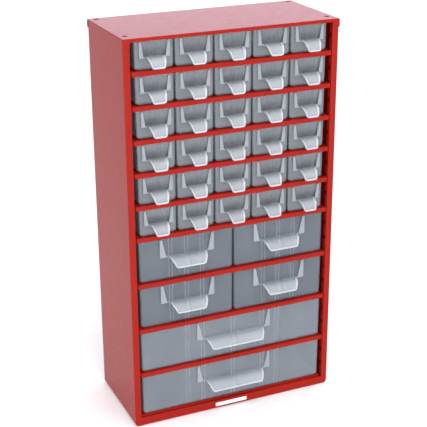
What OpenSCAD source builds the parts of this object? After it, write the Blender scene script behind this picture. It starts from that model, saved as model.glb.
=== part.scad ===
// Small-parts storage cabinet: a folded sheet-steel case with nine hemmed shelves
// and a floor shelf, holding rows of small, medium and large see-through drawers.
// The origin is at the centre of the bounding box on the surface the case stands on.
// +Z is up, and the drawers pull out along -Y.

/* [Case] */
// Overall width across the top cap
cab_w = 306; // [303:1:400]
// Overall height
cab_h = 552; // [552:1:700]
// Depth of the case without the drawer grips
body_d = 141; // [136:1:220]
// How far the drawer grips stand in front of the case
grip_out = 14; // [12:0.5:15]
// Thickness of the steel sheet
sheet = 0.8; // [0.6:0.1:1.2]
// Outside radius of the case's bottom corners
corner_r = 5; // [3:0.5:8]
// Outside radius of the sheet's bends
bend_r = 1.6; // [1.4:0.1:2]

/* [Front frame] */
// Width of the upright front flanges, with the cap's ear
flange_w = 10; // [8:0.5:12]
// Depth of the lip turned back from each flange
lip_d = 8; // [6:0.5:10]
// Height of the bottom flange
foot_flange_h = 12; // [10:0.5:14]
// Height of the cap's front flange between its ears
brow_h = 4.5; // [4:0.1:4.7]
// Height of the cap's corner ears and of its rear flange
ear_h = 11.5; // [8:0.5:16]
// Height of the cap's side skirts
skirt_h = 3; // [2.5:0.5:5]

/* [Shelf notches] */
// Top of the floor shelf, which is level with the first notch
floor_top = 14.5; // [14:0.1:15]
// Height of a notch
notch_h = 4.8; // [4:0.1:5.5]
// Steel left in front of a notch
notch_land = 2.5; // [2.4:0.1:4]

/* [Shelves] */
// Height of the shelf's rounded front hem and of its rear edge
hem_h = 6.6; // [6:0.1:6.8]
// Thickness of the front hem
hem_t = 2.2; // [2:0.1:3]
// Gap between a shelf's end and the case's lip
shelf_gap = 1.5; // [0.5:0.1:2]

/* [Top and back] */
// Radius of the pressed stacking dimples in the top
dimple_r = 4.2; // [3:0.1:5]
// Depth of the stacking dimples
dimple_depth = 1.2; // [0.8:0.1:1.4]
// Radius of the wall-fixing holes in the back
wall_hole_r = 3.25; // [2:0.25:5]
// Distance between the two wall-fixing holes
wall_hole_spacing = 200; // [100:10:240]
// Height of the wall-fixing holes
wall_hole_z = 500; // [400:5:520]

/* [All drawers] */
// Wall thickness
wall = 1.4; // [1.2:0.1:2]
// Overall length with the grip
drawer_l = 139; // [136:0.5:139]
// How far the side walls lean in from rim to floor
draft = 0.5; // [0:0.1:1]
// Outside radius of the bottom corners
drawer_r = 4.5; // [3:0.1:6]
// How far a drawer's face sits behind the case's flanges
face_recess = 4.5; // [4:0.1:5]
// Height of the stop tabs at the rear of the side walls
stop_h = 3.5; // [3:0.1:3.7]

/* [Small drawers] */
// Width
small_w = 53.6; // [50:0.1:54.4]
// Centre-to-centre spacing across the row
small_pitch = 54.8; // [54.8:0.1:56]
// Height
small_h = 37.4; // [34:0.1:37.4]
// Width across the label holder
small_label_w = 41.4; // [38:0.1:46]
// Height of the ledge that the grip grows from
small_ledge_z = 17.4; // [17:0.1:20]
// Width of the grip where it leaves the ledge
small_grip_w = 24.5; // [20:0.1:30]

/* [Medium drawers] */
// Width
medium_w = 137.8; // [130:0.1:138]
// Centre-to-centre spacing across the row
medium_pitch = 139.3; // [139.3:0.1:140]
// Height of medium and large drawers
tall_h = 60; // [54:0.1:60]
// Width across the label holder
medium_label_w = 79.3; // [70:0.1:90]
// Width of the grip where it leaves the ledge
medium_grip_w = 54; // [40:0.5:60]
// Height of the ledge on medium and large drawers
tall_ledge_z = 34.5; // [30:0.5:40]

/* [Large drawers] */
// Width
large_w = 278; // [260:0.5:278]
// Width across the label holder
large_label_w = 113.5; // [100:0.5:130]
// Width of the grip where it leaves the ledge
large_grip_w = 88.4; // [70:0.1:100]

/* [Hidden] */
$fn = 48;
arc_steps = 6;
eps = 0.01;

small_rows = 6;
small_cols = 5;
medium_rows = 2;
medium_cols = 2;
large_rows = 2;
rows = large_rows + medium_rows + small_rows;

// Case planes
front_y = -(body_d + grip_out) / 2 + grip_out;
back_y = front_y + body_d;
shell_front = front_y + sheet;
shell_back = back_y - sheet;
shell_half = cab_w / 2 - sheet;
lip_x = cab_w / 2 - flange_w;
lip_top = cab_h - 6;
lip_foot = floor_top;

// Notches, evenly spaced: one more would be level with a line just over the cap
notch_count = 24;
notch_over = 2.5;
notch_pitch = (cab_h + notch_over - floor_top) / notch_count;

// Shelf levels: rows 0 and 1 hold large drawers, 2 and 3 medium ones, and the rest small ones
large_span = 3 * notch_pitch;
small_span = 2 * notch_pitch;
tall_rows = large_rows + medium_rows;
function shelf_top(row) =
    floor_top + min(row, tall_rows) * large_span + max(row - tall_rows, 0) * small_span;
shelf_half = lip_x - shelf_gap;
hem_y = shell_front + 0.2;
shelf_back = shell_back - sheet - 0.5;
tongue_l = 3.5;

// Drawer planes
face_y = shell_front + face_recess;
tip_y = -(body_d + grip_out) / 2;
rear_y = tip_y + drawer_l;
drawer_lift = 0.3;
stop_l = 8;

// Label holder and grip, measured out from the drawer's face
holder_out = 2.5;
holder_t = 1.2;
card_gap = 1.1;
grip_t = 1.8;
grip_flat = 5;
grip_arc_r = 12;
grip_turn = 60;
grip_reach = face_y - tip_y;
grip_run = (grip_reach - grip_flat - grip_arc_r * sin(grip_turn)) / cos(grip_turn);
grip_drop = grip_arc_r * (1 - cos(grip_turn)) + grip_run * sin(grip_turn);
grip_corner_r = 2.5;
gusset_t = 1.2;

// Divider slots: each is a pair of ribs
rib_t = 1.2;
rib_out = 1.5;
rib_pair = 4.5;
small_slots = [1 / 5, 2 / 5, 3 / 5, 4 / 5];
medium_slots = [1 / 3, 1 / 2, 2 / 3];
large_slots = [1 / 4, 1 / 3, 1 / 2, 2 / 3, 3 / 4];

// Blank badge on the bottom flange
badge_x = -5.2;
badge_w = 49;
badge_h = 5.6;
badge_t = 0.3;

function small_name(row, col) = str("small_drawer_r", row + 1, "_c", col + 1);
function medium_name(row, col) = str("medium_drawer_r", row + 1, "_c", col + 1);
function large_name(row) = str("large_drawer_r", row + 1);
function shelf_name(row) = str("shelf_", row);

// Points along an arc about a centre
function arc(centre, r, from, to) =
    [for (i = [0:arc_steps])
        let (a = from + (to - from) * i / arc_steps)
        centre + r * [cos(a), sin(a)]];

// Rectangle between two corners with true round corners
module round_rect(low, high, r) {
    size = high - low;
    translate(low + [r, 0]) square([size.x - 2 * r, size.y]);
    translate(low + [0, r]) square([size.x, size.y - 2 * r]);
    for (x = [low.x + r, high.x - r], y = [low.y + r, high.y - r]) {
        translate([x, y]) circle(r);
    }
}

// Folded channel seen end on: closed on its far side and open between its two lips
module channel(low, high) {
    difference() {
        round_rect(low, high, bend_r);
        round_rect(low + [sheet, sheet], high - [sheet, sheet], bend_r - sheet);
        translate([low.x - 1, low.y + lip_d]) square([sheet + 1.5, high.y - low.y - 2 * lip_d]);
    }
}

// Extrudes an outline drawn in x and z along Y, between two planes
module along_y(from, to) {
    translate([0, to, 0]) rotate([90, 0, 0]) linear_extrude(to - from) children();
}

// Extrudes an outline drawn in y and z along X, centred
module along_x(length) {
    rotate([90, 0, 90]) linear_extrude(length, center = true) children();
}

// Both sides: the shape on +X and its mirror image
module both_sides() {
    children();
    mirror([1, 0, 0]) children();
}

// Upright side of the case with its front and rear flanges and lips
module side_channel() {
    difference() {
        // the sides end below the cap's rounded inner edges
        translate([0, 0, corner_r]) linear_extrude(cab_h - bend_r - corner_r)
            channel([lip_x, shell_front], [shell_half, shell_back]);
        // the lips stop short of the cap and of the floor
        for (z = [[-eps, lip_foot], [lip_top, cab_h]]) {
            translate([lip_x - 1, shell_front + bend_r, z[0]])
                cube([sheet + 1 + bend_r, shell_back - shell_front - 2 * bend_r, z[1] - z[0]]);
        }
        // shelf notches, open at the lips' free edges
        for (i = [0:notch_count - 1]) {
            translate([lip_x - 1, shell_front + notch_land, floor_top + i * notch_pitch - notch_h])
                cube([sheet + 1.5, shell_back - shell_front - 2 * notch_land, notch_h]);
        }
    }
}

// Bottom of the case between its corners
module bottom_channel() {
    difference() {
        along_x(2 * (shell_half - corner_r)) rotate(-90)
            channel([-foot_flange_h, shell_front], [0, shell_back]);
        // the lips stop short of the sides
        both_sides() translate([shelf_half, shell_front + bend_r, sheet + bend_r])
            cube([flange_w + corner_r, shell_back - shell_front - 2 * bend_r, foot_flange_h]);
    }
}

// Rounded bottom corner of the case
module bottom_corner() {
    translate([shell_half - corner_r, 0, corner_r]) rotate([-90, 0, 0])
        rotate_extrude(angle = 90) difference() {
            round_rect([-corner_r, shell_front], [corner_r, shell_back], bend_r);
            round_rect([-corner_r, shell_front + sheet], [corner_r - sheet, shell_back - sheet],
                bend_r - sheet);
            translate([-2 * corner_r, shell_front - 1]) square([2 * corner_r, body_d + 2]);
        }
}

// Sides and bottom folded from one sheet
module case_shell() {
    color("firebrick") {
        both_sides() side_channel();
        both_sides() bottom_corner();
        bottom_channel();
    }
}

// Block with rounded top edges that the cap is cut from
module cap_block(inset, r) {
    half = cab_w / 2 - inset;
    intersection() {
        along_y(front_y, back_y)
            round_rect([-half, cab_h / 2], [half, cab_h - inset], r);
        along_x(cab_w)
            round_rect([front_y + inset, cab_h / 2], [back_y - inset, cab_h - inset], r);
    }
}

// Pressed dimple that locates the foot of a case stacked on top
module dimple(grow, top) {
    translate([0, 0, top - dimple_depth - grow])
        cylinder(h = dimple_depth + grow + eps, r1 = dimple_r / 2 + grow, r2 = dimple_r + grow);
}

module at_dimples() {
    both_sides() {
        translate([cab_w / 2 - flange_w, front_y + 18]) children();
        translate([cab_w / 2 - flange_w, back_y - 9]) children();
    }
}

// Cap with a front brow, corner ears, side skirts and a rear flange
module top_cap() {
    color("firebrick") difference() {
        union() {
            difference() {
                cap_block(0, bend_r);
                cap_block(sheet, bend_r - sheet);
                // below the ears
                translate([-cab_w, -cab_w, 0]) cube([2 * cab_w, 2 * cab_w, cab_h - ear_h]);
                // between the ears
                translate([-lip_x, front_y - 1, 0]) cube([2 * lip_x, 3, cab_h - brow_h]);
                // below the side skirts
                translate([-cab_w, shell_front, 0])
                    cube([2 * cab_w, shell_back - shell_front, cab_h - skirt_h]);
            }
            at_dimples() dimple(sheet, cab_h - sheet);
        }
        at_dimples() dimple(0, cab_h);
    }
}

// Flat rear sheet with two wall-fixing holes
module back_panel() {
    color("firebrick") difference() {
        translate([-shell_half + 1, shell_back, 1])
            cube([2 * shell_half - 2, sheet, cab_h - ear_h - 1.3]);
        for (x = [-1, 1]) {
            translate([x * wall_hole_spacing / 2, back_y + 1, wall_hole_z])
                rotate([90, 0, 0]) cylinder(h = sheet + 2, r = wall_hole_r);
        }
    }
}

// Tongues bent down at a shelf's ends, which sit in the lips' notches
module tongues(top) {
    front = shell_front + notch_land + 0.2;
    back = shell_back - notch_land - 0.2 - tongue_l;
    both_sides() for (y = [front, back]) {
        translate([shelf_half - eps, y, top - notch_h]) cube([tongue_l, tongue_l, notch_h - 0.3]);
    }
}

// Shelf with a rounded front hem and a rear stiffening edge
module shelf(row) {
    top = shelf_top(row);
    color("firebrick") {
        along_x(2 * shelf_half)
            round_rect([hem_y, top - hem_h], [hem_y + hem_t, top], hem_t / 2 - 0.05);
        translate([-shelf_half, hem_y + hem_t / 2, top - sheet])
            cube([2 * shelf_half, shelf_back - hem_y - hem_t / 2, sheet]);
        translate([-shelf_half, shelf_back - sheet - tongue_l, top - hem_h])
            cube([2 * shelf_half, sheet, hem_h]);
        tongues(top);
    }
}

// Floor shelf, which rests on the bottom flange's lips
module floor_shelf() {
    length = shelf_back - face_y;
    color("firebrick") {
        translate([-shelf_half, face_y + 0.3, floor_top - sheet])
            cube([2 * shelf_half, length - 0.3, sheet]);
        for (y = [face_y + 0.3, shelf_back - sheet]) {
            translate([-shelf_half, y, foot_flange_h])
                cube([2 * shelf_half, sheet, floor_top - foot_flange_h]);
        }
    }
}

// Plain badge without any marking
module badge() {
    color("white") along_y(shell_front - badge_t, shell_front)
        round_rect([badge_x - badge_w / 2, (foot_flange_h - badge_h) / 2],
            [badge_x + badge_w / 2, (foot_flange_h + badge_h) / 2], 0.8);
}

// Tub's cross-section: leaning sides and round bottom corners
module tub_outline(w, h, r, lean) {
    centre_x = w / 2 - (h - r) * tan(lean) - r / cos(lean);
    polygon(concat(
        [[-w / 2, h]],
        arc([-centre_x, r], r, 180 + lean, 270),
        arc([centre_x, r], r, 270, 360 - lean),
        [[w / 2, h]]
    ));
}

// Open tub with its front face at face_y
module tub(w, h) {
    lean = atan(draft / h);
    difference() {
        along_y(face_y, rear_y) tub_outline(w, h, drawer_r, lean);
        translate([0, 0, wall]) along_y(face_y + wall, rear_y - wall)
            tub_outline(w - 2 * wall / cos(lean) + 2 * tan(lean), h - wall + 1, drawer_r - wall, lean);
    }
}

// Tabs that catch behind the shelf above when the drawer is pulled out
module stop_tabs(w, h) {
    both_sides() translate([w / 2 - wall, 0, 0]) rotate([90, 0, 90]) linear_extrude(wall)
        polygon([
            [rear_y - stop_l, h - 1], [rear_y - stop_l, h + stop_h],
            [rear_y - stop_h, h + stop_h], [rear_y, h], [rear_y, h - 1]
        ]);
}

// One half of the label holder: a slanted wing on an outer web
module label_wing(w, h, ledge_z, wing_top, wing_foot) {
    top = h - 1;
    foot = ledge_z - grip_t;
    along_y(face_y - holder_out, face_y - card_gap)
        polygon([[w / 2, foot], [w / 2, top], [w / 2 - wing_top, top], [w / 2 - wing_foot, foot]]);
    translate([w / 2 - holder_t, face_y - holder_out, foot])
        cube([holder_t, holder_out + eps, top - foot]);
}

// Ledge that closes the label holder's bottom
module label_ledge(w, ledge_z) {
    translate([-w / 2, face_y - holder_out, ledge_z - grip_t])
        cube([w, holder_out + eps, grip_t]);
}

// Line along the grip at radius r from the bend's centre, out from the face and down
function grip_line(r) = let (
    centre = [grip_flat, -grip_arc_r],
    curve = arc(centre, r, 90, 90 - grip_turn),
    last = curve[len(curve) - 1]
) concat(
    [[-eps, r - grip_arc_r]], curve,
    [last + grip_run * [cos(grip_turn), -sin(grip_turn)]]
);

// Grip: a curved tongue that narrows towards its rounded tip
module grip(w, ledge_z, taper) {
    outer = grip_line(grip_arc_r);
    inner = grip_line(grip_arc_r - grip_t);
    last = len(inner) - 1;
    tip_z = ledge_z - grip_drop - grip_t;
    tip = w / 2 - taper;
    intersection() {
        translate([0, face_y, ledge_z]) rotate([90, 0, -90])
            linear_extrude(w, center = true)
                polygon(concat(outer, [for (i = [last:-1:0]) inner[i]]));
        along_y(tip_y - 1, face_y + 1)
            polygon(concat(
                [[w / 2, ledge_z + 1], [-w / 2, ledge_z + 1]],
                arc([-tip + grip_corner_r, tip_z + grip_corner_r + 1], grip_corner_r, 180, 270),
                arc([tip - grip_corner_r, tip_z + grip_corner_r + 1], grip_corner_r, 270, 360)
            ));
    }
}

// Web under the middle of a wide grip
module gusset(ledge_z) {
    line = grip_line(grip_arc_r - grip_t / 2);
    last = line[len(line) - 2];
    translate([0, face_y, ledge_z]) rotate([90, 0, -90]) linear_extrude(gusset_t, center = true)
        polygon(concat([for (i = [0:len(line) - 2]) line[i]], [[-eps, last.y]]));
}

// Rib pair that holds a divider, standing on a wall that faces +Y
module slot_ribs(x, h) {
    for (side = [-1, 1]) {
        translate([x + side * rib_pair / 2 - rib_t / 2, -eps, wall - eps])
            cube([rib_t, rib_out + eps, h - wall - 2]);
    }
}

// Divider slots on the front and rear walls
module long_slots(w, h, places) {
    for (place = places) {
        translate([0, face_y + wall, 0]) slot_ribs((place - 1 / 2) * w, h);
        translate([0, rear_y - wall, 0]) mirror([0, 1, 0]) slot_ribs((place - 1 / 2) * w, h);
    }
}

// Divider slots on the side walls, rooted in their lean
module cross_slots(w, h, places) {
    middle = (face_y + rear_y) / 2;
    length = rear_y - face_y;
    both_sides() for (place = places) {
        translate([w / 2 - wall - draft + 0.1, middle, 0]) rotate([0, 0, 90])
            slot_ribs((place - 1 / 2) * length, h);
    }
}

module small_drawer(row, col) {
    x = (col - (small_cols - 1) / 2) * small_pitch;
    color("lightsteelblue", 0.6) translate([x, 0, shelf_top(row) + drawer_lift]) {
        tub(small_w, small_h);
        stop_tabs(small_w, small_h);
        both_sides() label_wing(small_label_w, small_h, small_ledge_z, 2.8, 6);
        label_ledge(small_label_w, small_ledge_z);
        grip(small_grip_w, small_ledge_z, 3.7);
        cross_slots(small_w, small_h, small_slots);
    }
}

// Medium and large drawers differ only in width and in the number of divider slots
module tall_drawer(w, label_w, wing_top, grip_w, taper, places) {
    tub(w, tall_h);
    stop_tabs(w, tall_h);
    both_sides() label_wing(label_w, tall_h, tall_ledge_z, wing_top, 9.2);
    label_ledge(label_w, tall_ledge_z);
    grip(grip_w, tall_ledge_z, taper);
    gusset(tall_ledge_z);
    long_slots(w, tall_h, places);
}

module medium_drawer(row, col) {
    x = (col - (medium_cols - 1) / 2) * medium_pitch;
    color("lightsteelblue", 0.6) translate([x, 0, shelf_top(row) + drawer_lift])
        tall_drawer(medium_w, medium_label_w, 3.7, medium_grip_w, 6, medium_slots);
}

module large_drawer(row) {
    color("lightsteelblue", 0.6) translate([0, 0, shelf_top(row) + drawer_lift])
        tall_drawer(large_w, large_label_w, 3, large_grip_w, 5.6, large_slots);
}

case_shell();
top_cap();
back_panel();
floor_shelf();
badge();
for (row = [1:rows - 1]) {
    shelf(row);
}
for (row = [0:large_rows - 1]) {
    large_drawer(row);
}
for (row = [large_rows:tall_rows - 1], col = [0:medium_cols - 1]) {
    medium_drawer(row, col);
}
for (row = [tall_rows:rows - 1], col = [0:small_cols - 1]) {
    small_drawer(row, col);
}
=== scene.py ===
from collections import namedtuple
from math import cos, pi, radians, sin, sqrt
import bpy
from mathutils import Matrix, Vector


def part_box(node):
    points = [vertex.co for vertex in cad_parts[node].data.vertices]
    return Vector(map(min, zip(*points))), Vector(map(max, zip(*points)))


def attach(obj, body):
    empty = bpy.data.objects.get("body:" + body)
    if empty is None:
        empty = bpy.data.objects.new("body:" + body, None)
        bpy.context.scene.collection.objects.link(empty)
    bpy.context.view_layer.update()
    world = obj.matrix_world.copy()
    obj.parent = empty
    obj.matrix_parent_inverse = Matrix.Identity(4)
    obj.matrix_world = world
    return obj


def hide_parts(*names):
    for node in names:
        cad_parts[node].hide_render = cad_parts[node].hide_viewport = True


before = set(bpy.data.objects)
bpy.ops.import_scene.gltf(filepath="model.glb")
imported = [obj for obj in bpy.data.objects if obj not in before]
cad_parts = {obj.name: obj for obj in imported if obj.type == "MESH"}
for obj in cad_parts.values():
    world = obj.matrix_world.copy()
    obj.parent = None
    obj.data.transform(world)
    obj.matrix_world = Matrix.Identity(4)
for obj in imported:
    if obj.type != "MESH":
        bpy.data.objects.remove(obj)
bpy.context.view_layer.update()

from types import SimpleNamespace

import bmesh
import bpy
from mathutils import Matrix, Vector

mm = 0.001


# ---------------------------------------------------------------- mesh helpers


def new_object(name, mesh):
    """Links an object with the given mesh into the scene."""
    obj = bpy.data.objects.new(name, mesh)
    bpy.context.scene.collection.objects.link(obj)
    return obj


def mesh_from(bm, name):
    """Turns a bmesh into a mesh with outward normals, and frees the bmesh."""
    bmesh.ops.recalc_face_normals(bm, faces=bm.faces)
    mesh = bpy.data.meshes.new(name)
    bm.to_mesh(mesh)
    bm.free()
    return mesh


def evaluated(obj):
    """A new mesh with an object's modifiers applied."""
    graph = bpy.context.evaluated_depsgraph_get()
    return bpy.data.meshes.new_from_object(obj.evaluated_get(graph), depsgraph=graph)


def smooth(mesh, angle):
    """Shades a mesh smooth, with sharp edges where faces meet above the angle."""
    mesh.shade_smooth()
    mesh.set_sharp_from_angle(angle=radians(angle))


def flat_normals(mesh):
    """Gives broad faces their own normals, so that only the small rounded edges shade as curves."""
    obj = new_object("normals", mesh)
    obj.modifiers.new("normals", "WEIGHTED_NORMAL").keep_sharp = True
    result = evaluated(obj)
    bpy.data.objects.remove(obj)
    return result


def bevel_sharp(bm, width, angle=30):
    """Rounds every edge whose faces meet above the angle."""
    edges = [e for e in bm.edges if e.is_manifold and e.calc_face_angle(0) > radians(angle)]
    bmesh.ops.bevel(
        bm, geom=edges, offset=width, offset_type="OFFSET", segments=2,
        profile=0.5, affect="EDGES", clamp_overlap=True,
    )


def prism(outline, place, depth, bevel):
    """A closed slab: the outline's 2-D points go through place(a, b, t) at t = 0 and t = depth."""
    bm = bmesh.new()
    near = [bm.verts.new(place(a, b, 0)) for a, b in outline]
    far = [bm.verts.new(place(a, b, depth)) for a, b in outline]
    bm.faces.new(near)
    bm.faces.new(list(reversed(far)))
    for i in range(len(outline)):
        j = (i + 1) % len(outline)
        bm.faces.new([near[i], far[i], far[j], near[j]])
    bmesh.ops.recalc_face_normals(bm, faces=bm.faces)
    bevel_sharp(bm, bevel)
    return mesh_from(bm, "prism")


def block(low, high, bevel):
    """A box between two corners with rounded edges."""
    outline = [(low[0], low[1]), (high[0], low[1]), (high[0], high[1]), (low[0], high[1])]
    return prism(outline, lambda a, b, t: (a, b, low[2] + t), high[2] - low[2], bevel)


def paint(mesh, index):
    """Gives every face of a mesh one material index."""
    for face in mesh.polygons:
        face.material_index = index
    return mesh


def union(base, parts, materials):
    """One closed mesh from a base mesh and the parts that stand on it, each face in its material."""
    for mesh in [base, *parts]:
        for material in materials:
            mesh.materials.append(material)
    body = new_object("union_base", base)
    helpers = [new_object("union_part", part) for part in parts]
    for helper in helpers:
        step = body.modifiers.new("union", "BOOLEAN")
        step.operation = "UNION"
        step.solver = "EXACT"
        step.object = helper
    result = evaluated(body)
    for obj in [body, *helpers]:
        bpy.data.objects.remove(obj)
    return result


def tidy_copy(node, width):
    """A copy of a CAD node's mesh with flat areas merged and its cut edges rounded."""
    bm = bmesh.new()
    bm.from_mesh(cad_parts[node].data)
    bmesh.ops.remove_doubles(bm, verts=bm.verts, dist=2e-6)
    bmesh.ops.dissolve_limit(
        bm, angle_limit=radians(1), verts=bm.verts, edges=bm.edges, delimit={"NORMAL"})
    bevel_sharp(bm, width, angle=40)
    return mesh_from(bm, node + "_steel")


# ---------------------------------------------------------------- materials

noise_low, noise_high = 0.3, 0.7    # the range that holds nearly all of a noise's values
bump_depth = 0.03 * mm


def new_material(name):
    """A material, its node tree, its shader and the coordinates that its textures follow."""
    material = bpy.data.materials.new(name)
    material.use_nodes = True
    tree = material.node_tree
    where = tree.nodes.new("ShaderNodeTexCoord").outputs["Object"]
    return material, tree, tree.nodes["Principled BSDF"], where


def noise(tree, where, scale, detail):
    """Noise at a scale in features per metre."""
    texture = tree.nodes.new("ShaderNodeTexNoise")
    texture.inputs["Scale"].default_value = scale
    texture.inputs["Detail"].default_value = detail
    tree.links.new(where, texture.inputs["Vector"])
    return texture.outputs["Fac"]


def ramp(tree, factor, low, high):
    """A colour from low to high over a noise's range."""
    node = tree.nodes.new("ShaderNodeValToRGB")
    for stop, position, colour in zip(
            node.color_ramp.elements, (noise_low, noise_high), (low, high)):
        stop.position = position
        stop.color = (*colour, 1)
    tree.links.new(factor, node.inputs["Fac"])
    return node.outputs["Color"]


def spread(tree, factor, low, high):
    """A value from low to high over a noise's range."""
    node = tree.nodes.new("ShaderNodeMapRange")
    for socket, value in {"From Min": noise_low, "From Max": noise_high,
                          "To Min": low, "To Max": high}.items():
        node.inputs[socket].default_value = value
    tree.links.new(factor, node.inputs["Value"])
    return node.outputs["Result"]


def bump(tree, height, strength):
    """A bump normal from a height."""
    node = tree.nodes.new("ShaderNodeBump")
    node.inputs["Strength"].default_value = strength
    node.inputs["Distance"].default_value = bump_depth
    tree.links.new(height, node.inputs["Height"])
    return node.outputs["Normal"]


def powder_coat():
    """Red semi-gloss powder coat: fine orange peel, cloudy gloss and a slight mottle."""
    material, tree, shader, where = new_material("red_powder_coat")
    mottle = noise(tree, where, 30, 4)
    gloss = noise(tree, where, 90, 3)
    peel = noise(tree, where, 700, 2)
    colour = ramp(tree, mottle, (0.256, 0.0100, 0.0056), (0.267, 0.0108, 0.0062))
    tree.links.new(colour, shader.inputs["Base Color"])
    tree.links.new(spread(tree, gloss, 0.24, 0.28), shader.inputs["Roughness"])
    tree.links.new(bump(tree, peel, 0.02), shader.inputs["Normal"])
    shader.inputs["IOR"].default_value = 1.20
    return material


def drawer_plastic(name, dark, light, opacity):
    """Milky polypropylene: partly see-through, with flow clouding and a fine satin grain."""
    material, tree, shader, where = new_material(name)
    cloud = noise(tree, where, 28, 4)
    grain = noise(tree, where, 420, 3)
    satin = noise(tree, where, 1200, 2)
    tree.links.new(ramp(tree, cloud, dark, light), shader.inputs["Base Color"])
    tree.links.new(spread(tree, grain, 0.24, 0.36), shader.inputs["Roughness"])
    tree.links.new(bump(tree, satin, 0.07), shader.inputs["Normal"])
    shader.inputs["Alpha"].default_value = opacity
    shader.inputs["IOR"].default_value = 1.49
    return material


def badge_print():
    """White print with slightly uneven cover."""
    material, tree, shader, where = new_material("white_print")
    cover = noise(tree, where, 500, 4)
    colour = ramp(tree, cover, (0.70, 0.67, 0.67), (0.78, 0.76, 0.76))
    tree.links.new(colour, shader.inputs["Base Color"])
    tree.links.new(spread(tree, cover, 0.35, 0.5), shader.inputs["Roughness"])
    tree.links.new(bump(tree, cover, 0.2), shader.inputs["Normal"])
    return material


def floor_paper():
    """Near-white studio paper."""
    material, tree, shader, where = new_material("studio_paper")
    fibre = noise(tree, where, 60, 4)
    colour = ramp(tree, fibre, (0.90, 0.90, 0.90), (0.93, 0.93, 0.93))
    tree.links.new(colour, shader.inputs["Base Color"])
    shader.inputs["Roughness"].default_value = 0.8
    return material


red = powder_coat()
# Every drawer is the same plastic. The small drawers' wall colour is the large ones' colour darkened,
# and the medium ones' is darkened more: painted shade.
wall_plastic = {
    "small": drawer_plastic(
        "milky_plastic_small", (0.195, 0.210, 0.235), (0.235, 0.250, 0.275), 0.52),
    "medium": drawer_plastic(
        "milky_plastic_medium", (0.145, 0.170, 0.200), (0.180, 0.205, 0.235), 0.42),
    "large": drawer_plastic(
        "milky_plastic_large", (0.218, 0.250, 0.290), (0.258, 0.290, 0.330), 0.42),
}
detail_plastics = [
    drawer_plastic("milky_plastic_details", (0.43, 0.46, 0.495), (0.47, 0.50, 0.535), 0.38),
    drawer_plastic("milky_plastic_ribs", (0.42, 0.45, 0.485), (0.48, 0.51, 0.545), 0.88),
    drawer_plastic("milky_plastic_label_holder", (0.31, 0.335, 0.365), (0.35, 0.375, 0.405), 0.6),
]
white = badge_print()


# ---------------------------------------------------------------- drawers: the tub
#
# Each kind of drawer is moulded round a SimpleNamespace d of its sizes: its width w and height h,
# its face and back in y, and what place_drawers is given for the kind. Its floor is at z = 0.

THIN, THICK, RIB, LABEL = range(4)    # a drawer's materials, in the order that the union takes them

wall = 1.4 * mm
draft = 0.5 * mm        # how much farther in each side wall is at the floor than at the rim
side_r = 4.5 * mm       # bottom edge along the sides, on the outside
front_r = 2.0 * mm      # bottom edge along the front and the back, on the outside
inner_front_r = 0.8 * mm    # bottom edge along the front and the back, on the inside
plan_r = 2.6 * mm       # upright corners
rim_r = 0.45 * mm
corner_steps = 6
round_steps = 6


def plan_ring(half, front, back, r, z):
    """Points round a rectangle with round corners at one height, anticlockwise from above."""
    points = []
    corners = [(half - r, front + r, -90), (half - r, back - r, 0),
               (-half + r, back - r, 90), (-half + r, front + r, 180)]
    for x, y, start in corners:
        for i in range(corner_steps + 1):
            a = radians(start + 90 * i / corner_steps)
            points.append((x + r * cos(a), y + r * sin(a), z))
    return points


def tub_rings(d):
    """The tub's rings of points, up its outside, over its rim and down its inside."""
    def level(z, inset, side_in, front_in, r):
        half = d.w / 2 - draft * (1 - z / d.h) - inset - side_in
        return plan_ring(half, d.face + inset + front_in, d.back - inset - front_in, r, z)

    quarter = [pi / 2 * i / round_steps for i in range(round_steps + 1)]
    outside = [
        level(side_r * (1 - cos(a)), 0, side_r * (1 - sin(a)), front_r * (1 - sin(a)), plan_r)
        for a in quarter]
    outer = [(d.h - rim_r, 0), (d.h - 0.3 * rim_r, 0.3 * rim_r), (d.h, rim_r)]
    inner = [(z, wall - inset) for z, inset in reversed(outer)]
    rim = [level(z, inset, 0, 0, plan_r - inset * 0.9) for z, inset in outer + inner]
    inner_side_r = side_r - wall
    inside = [
        level(wall + inner_side_r * (1 - cos(a)), wall, inner_side_r * (1 - sin(a)),
              inner_front_r * (1 - sin(a)), plan_r - wall * 0.9)
        for a in reversed(quarter)]
    return outside, rim, inside


def tub(d):
    """A moulded tub: leaning walls, a soft bottom edge, round corners and a rounded rim."""
    outside, rim, inside = tub_rings(d)
    bm = bmesh.new()
    loops = [[bm.verts.new(p) for p in ring] for ring in outside + rim + inside]
    count = len(loops[0])
    rim_levels = range(len(outside), len(outside) + len(rim) - 1)
    for level, (low, high) in enumerate(zip(loops, loops[1:])):
        for i in range(count):
            j = (i + 1) % count
            face = bm.faces.new([low[i], low[j], high[j], high[i]])
            face.material_index = THICK if level in rim_levels else THIN
    bm.faces.new(list(reversed(loops[0])))
    bm.faces.new(loops[-1])
    return mesh_from(bm, "tub")


# ---------------------------------------------------------------- drawers: the grip

grip_reach = 19.3 * mm      # how far the grip's tip stands out from the face
grip_t = 1.8 * mm
grip_flat = 5 * mm
grip_arc_r = 12 * mm
grip_turn = radians(60)
grip_tip_r = 2.6 * mm
bead = 0.6 * mm
bead_w = 2.4 * mm
arc_steps = 10

# A point on the grip's upper side, its outward normal, and its distance along from the face.
PathPoint = namedtuple("PathPoint", "out up n_out n_up along")


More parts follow.
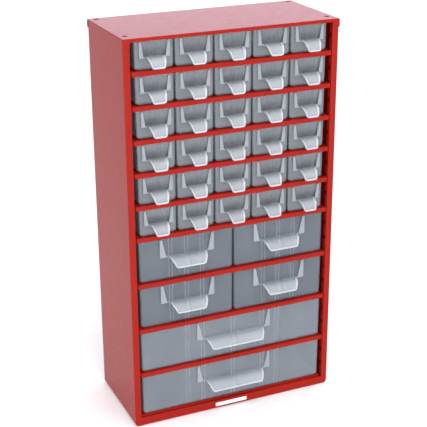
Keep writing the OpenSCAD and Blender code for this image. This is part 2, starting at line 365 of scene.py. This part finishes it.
def grip_path():
    """Points along the grip's upper side: a flat root, an arc downwards and a straight run."""
    run = (grip_reach - grip_flat - grip_arc_r * sin(grip_turn)) / cos(grip_turn)
    points = [(-0.6 * mm, 0, 0.0), (grip_flat, 0, 0.0)]
    for i in range(1, arc_steps + 1):
        a = grip_turn * i / arc_steps
        points.append((grip_flat + grip_arc_r * sin(a), -grip_arc_r * (1 - cos(a)), a))
    out, up, a = points[-1]
    for share in (0.35, 0.6, 0.72, 0.8, 0.86, 0.91, 0.95, 0.98, 1.0):
        points.append((out + run * share * cos(a), up - run * share * sin(a), a))
    path, along = [], 0
    last_out, last_up = points[0][:2]
    for out, up, a in points:
        along += sqrt((out - last_out) ** 2 + (up - last_up) ** 2)
        path.append(PathPoint(out, up, sin(a), cos(a), along))
        last_out, last_up = out, up
    return path


def grip_rows(d, path, shares):
    """The grip's rows of points, above and underneath, at shares of its half width."""
    total, drop = path[-1].along, -path[-1].up

    def half_at(p):
        half = d.grip_w / 2 - d.taper * min(1, -p.up / drop)
        left = total - p.along
        if left < grip_tip_r:
            half -= grip_tip_r - sqrt(grip_tip_r ** 2 - (grip_tip_r - left) ** 2)
        return half

    def point(p, x, depth):
        return x, d.face - p.out + p.n_out * depth, d.ledge_z + p.up - p.n_up * depth

    above, under = [], []
    for p in path:
        half = half_at(p)
        row = []
        for share in shares:
            edge = min((1 - abs(share)) * d.grip_w / 2, total - p.along)
            sunk = bead if edge > 0.7 * bead_w and p.along > grip_flat else 0
            row.append(point(p, share * half, sunk))
        above.append(row)
        under.append([point(p, share * half, grip_t) for share in shares])
    return above, under


def grip(d):
    """The pull: a curved tongue that narrows to a rounded tip, with a raised bead round its edge."""
    path = grip_path()
    total = path[-1].along
    rim = bead_w / (d.grip_w / 2)
    right = [0.5 * (1 - rim), 1 - rim, 1 - 0.6 * rim, 1 - 0.2 * rim, 1]
    shares = [-share for share in reversed(right)] + [0] + right
    bm = bmesh.new()
    top, under = [], []
    for row_top, row_under in zip(*grip_rows(d, path, shares)):
        pairs = [(bm.verts.new(p), bm.verts.new(q)) for p, q in zip(row_top, row_under)]
        top.append([p for p, q in pairs])
        under.append([q for p, q in pairs])

    def skin(corners, index=THICK):
        bm.faces.new(corners).material_index = index

    rows, cols = len(path), len(shares)
    for i in range(rows - 1):
        for j in range(cols - 1):
            middle = (abs(shares[j]) + abs(shares[j + 1])) / 2
            left = total - (path[i].along + path[i + 1].along) / 2
            edge = min((1 - middle) * d.grip_w / 2, left)
            index = RIB if edge < bead_w and path[i].along >= grip_flat else THICK
            skin([top[i][j], top[i + 1][j], top[i + 1][j + 1], top[i][j + 1]], index)
            skin([under[i][j], under[i][j + 1], under[i + 1][j + 1], under[i + 1][j]], index)
        for j in (0, cols - 1):
            skin([top[i][j], under[i][j], under[i + 1][j], top[i + 1][j]])
    for i in (0, rows - 1):
        for j in range(cols - 1):
            skin([top[i][j], top[i][j + 1], under[i][j + 1], under[i][j]])
    bmesh.ops.recalc_face_normals(bm, faces=bm.faces)
    bevel_sharp(bm, 0.35 * mm, angle=50)
    return mesh_from(bm, "grip")


# ---------------------------------------------------------------- drawers: what stands on the tub

holder_out = 2.5 * mm       # how far the label holder stands out from the face
card_gap = 1.1 * mm         # the slot for a card behind the holder's wings
web_t = 1.2 * mm
root = 0.4 * mm             # how far a piece on the face runs into the wall
clear = 0.05 * mm           # keeps faces of neighbouring pieces out of each other's plane
stop_h = 3.5 * mm
stop_l = 8 * mm
gusset_t = 1.2 * mm
gusset_in = 1.2 * mm        # the gusset's depth below the grip's upper side, inside the grip
rib_t = 1.2 * mm
rib_out = 1.5 * mm
rib_pair = 4.5 * mm         # distance between the two ribs that hold a divider
rib_sunk = 0.3 * mm         # how far a rib runs into the wall and the floor


def label_wings(d):
    """The label holder's two wings, which narrow upwards, and the webs that carry them."""
    top, foot = d.h - 1 * mm, d.ledge_z - grip_t
    half = d.label_w / 2
    wings = []
    for side in (-1, 1):
        outline = [(half, foot), (half, top), (half - d.wing_top, top), (half - d.wing_foot, foot)]
        wings.append(prism(
            [(side * x, z) for x, z in outline],
            lambda a, b, t: (a, d.face - holder_out + t, b), holder_out - card_gap, 0.3 * mm))
        x0, x1 = sorted((side * half, side * (half - web_t)))
        wings.append(block((x0, d.face - holder_out + clear, foot + clear),
                           (x1, d.face + root, top - clear), 0.25 * mm))
    return wings


def label_ledge(d):
    """The ledge that a label stands on."""
    half, foot = d.label_w / 2 - 2 * clear, d.ledge_z - grip_t
    return block((-half, d.face - holder_out + 2 * clear, foot - clear),
                 (half, d.face + root, d.ledge_z - clear), 0.3 * mm)


def stop_tabs(d):
    """The tabs on top of the side walls, at the back, that stop the drawer at the hem above."""
    base, end = d.h - 1.2 * mm, d.back - 0.7 * mm
    outline = [(d.back - stop_l, base), (d.back - stop_l, d.h + stop_h),
               (d.back - stop_h, d.h + stop_h), (end, d.h), (end, base)]
    tabs = []
    for side in (-1, 1):
        outside = side * (d.w / 2 - clear)
        tabs.append(prism(
            outline, lambda a, b, t: (outside - side * t, a, b), wall - 0.15 * mm, 0.3 * mm))
    return tabs


def gusset(d):
    """The upright web between the face and the underside of a wide grip."""
    under = [(p.out - p.n_out * gusset_in, p.up - p.n_up * gusset_in)
             for p in grip_path() if p.along > grip_flat][:-3]
    outline = [(-0.5 * mm, -gusset_in)] + under + [(-0.5 * mm, under[-1][1])]
    return prism(outline, lambda a, b, t: (t - gusset_t / 2, d.face - a, d.ledge_z + b),
                 gusset_t, 0.2 * mm)


def slot_ribs(d):
    """Pairs of ribs that hold dividers: on the side walls if across, else on the front and back."""
    foot, top = wall - rib_sunk, d.h - 2 * mm
    inner = d.w / 2 - draft - wall
    ribs = []
    for share in d.slots:
        for offset in (-rib_pair / 2, rib_pair / 2):
            if d.across:
                y = (d.face + d.back) / 2 + (share - 0.5) * (d.back - d.face) + offset
                spans = [sorted((side * (inner + draft + rib_sunk), side * (inner - rib_out + draft)))
                         for side in (-1, 1)]
                ribs += [block((x0, y - rib_t / 2, foot), (x1, y + rib_t / 2, top), 0.25 * mm)
                         for x0, x1 in spans]
            else:
                x = (share - 0.5) * d.w + offset
                spans = [(d.face + wall - rib_sunk, d.face + wall + rib_out),
                         (d.back - wall - rib_out, d.back - wall + rib_sunk)]
                ribs += [block((x - rib_t / 2, y0, foot), (x + rib_t / 2, y1, top), 0.25 * mm)
                         for y0, y1 in spans]
    return ribs


# ---------------------------------------------------------------- drawers: the whole piece


def drawer_mesh(d, materials):
    """One drawer as a single moulded piece."""
    parts = [paint(part, LABEL) for part in label_wings(d)]
    parts += [paint(part, THICK) for part in [label_ledge(d), *stop_tabs(d)]]
    parts += [paint(part, RIB) for part in ([gusset(d)] if d.gusset else []) + slot_ribs(d)]
    parts.append(grip(d))
    mesh = union(tub(d), parts, materials)
    smooth(mesh, 38)
    return flat_normals(mesh)


def place_drawers(kind, **sizes):
    """Makes one mesh for a size of drawer and stands it in for each CAD drawer of that size."""
    names = sorted(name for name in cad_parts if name.startswith(kind + "_drawer"))
    low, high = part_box(names[0])
    d = SimpleNamespace(w=high.x - low.x, h=high.z - low.z - stop_h,
                        face=low.y + grip_reach, back=high.y, **sizes)
    mesh = drawer_mesh(d, [wall_plastic[kind], *detail_plastics])
    mesh.name = kind + "_drawer_mesh"
    for name in names:
        low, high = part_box(name)
        piece = new_object(name + "_moulding", mesh)
        piece.location = ((low.x + high.x) / 2, 0, low.z)
        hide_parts(name)
        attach(piece, name)


place_drawers(
    "small", label_w=41.4 * mm, wing_top=2.8 * mm, wing_foot=6 * mm, ledge_z=17.4 * mm,
    grip_w=24.5 * mm, taper=3.7 * mm, gusset=False,
    slots=(1 / 5, 2 / 5, 3 / 5, 4 / 5), across=True)
place_drawers(
    "medium", label_w=79.3 * mm, wing_top=3.7 * mm, wing_foot=9.2 * mm, ledge_z=34.5 * mm,
    grip_w=54 * mm, taper=6 * mm, gusset=True,
    slots=(1 / 3, 1 / 2, 2 / 3), across=False)
place_drawers(
    "large", label_w=113.5 * mm, wing_top=3 * mm, wing_foot=9.2 * mm, ledge_z=34.5 * mm,
    grip_w=88.4 * mm, taper=5.6 * mm, gusset=True,
    slots=(1 / 4, 1 / 3, 1 / 2, 2 / 3, 3 / 4), across=False)


# ---------------------------------------------------------------- steel case and badge


def fixed_piece(node, suffix, mesh, material):
    """Stands a mesh in for a CAD node of the fixed cabinet."""
    mesh.materials.append(material)
    piece = new_object(node + suffix, mesh)
    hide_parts(node)
    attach(piece, "cabinet")


steel_nodes = ["case_shell", "top_cap", "back_panel", "floor_shelf"]
steel_nodes += sorted(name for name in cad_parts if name.startswith("shelf_"))
for node in steel_nodes:
    steel = tidy_copy(node, 0.22 * mm)
    smooth(steel, 40)
    fixed_piece(node, "_steel", flat_normals(steel), red)

badge = tidy_copy("badge", 0.1 * mm)
smooth(badge, 30)
fixed_piece("badge", "_print", badge, white)


# ---------------------------------------------------------------- floor, light and camera


def studio_floor():
    """A wide sheet of paper just under the cabinet's foot."""
    bm = bmesh.new()
    bmesh.ops.create_grid(bm, x_segments=8, y_segments=8, size=6)
    mesh = mesh_from(bm, "floor")
    mesh.materials.append(floor_paper())
    floor = new_object("floor", mesh)
    floor.location = (0, 0, -0.5 * mm)


def aimed(obj, place, target, roll=0.0):
    """Puts a light or a camera in place, turned towards the target."""
    aim = (Vector(target) - Vector(place)).to_track_quat("-Z", "Y").to_matrix().to_4x4()
    obj.location = place
    obj.rotation_euler = (aim @ Matrix.Rotation(radians(roll), 4, "Z")).to_euler()
    bpy.context.scene.collection.objects.link(obj)


def area_light(name, place, target, size, power, colour=(1, 1, 1)):
    """A soft rectangular light."""
    data = bpy.data.lights.new(name, "AREA")
    data.shape = "RECTANGLE"
    data.size, data.size_y = size
    data.energy = power
    data.color = colour
    aimed(bpy.data.objects.new(name, data), place, target)


def studio_light():
    """Even daylight all round, with soft lights in front, behind and overhead."""
    world = bpy.data.worlds.new("studio")
    world.use_nodes = True
    daylight = world.node_tree.nodes["Background"]
    daylight.inputs["Color"].default_value = (0.97, 0.975, 1, 1)
    daylight.inputs["Strength"].default_value = 1.1
    bpy.context.scene.world = world
    area_light("key", (-0.7, -2.6, 0.7), (0, 0, 0.2), (1.4, 1.2), 55)
    area_light("backdrop", (1.0, 3.4, 1.3), (0, 0, 0.55), (3.2, 2.0), 26, (0.8, 0.8, 1.0))
    area_light("overhead", (0.1, -0.7, 2.2), (0, 0, 0.3), (1.1, 0.6), 12)


def camera():
    """The camera, at the photograph's viewing angle."""
    data = bpy.data.cameras.new("camera")
    data.sensor_width = 36
    data.lens = 94.48
    data.clip_end = 30
    obj = bpy.data.objects.new("camera", data)
    aimed(obj, (-0.5931, -1.3499, 0.8580), (-0.0011, 0.0071, 0.2733), roll=-0.336)
    bpy.context.scene.camera = obj


studio_floor()
studio_light()
camera()
bpy.context.scene.view_settings.view_transform = "Standard"
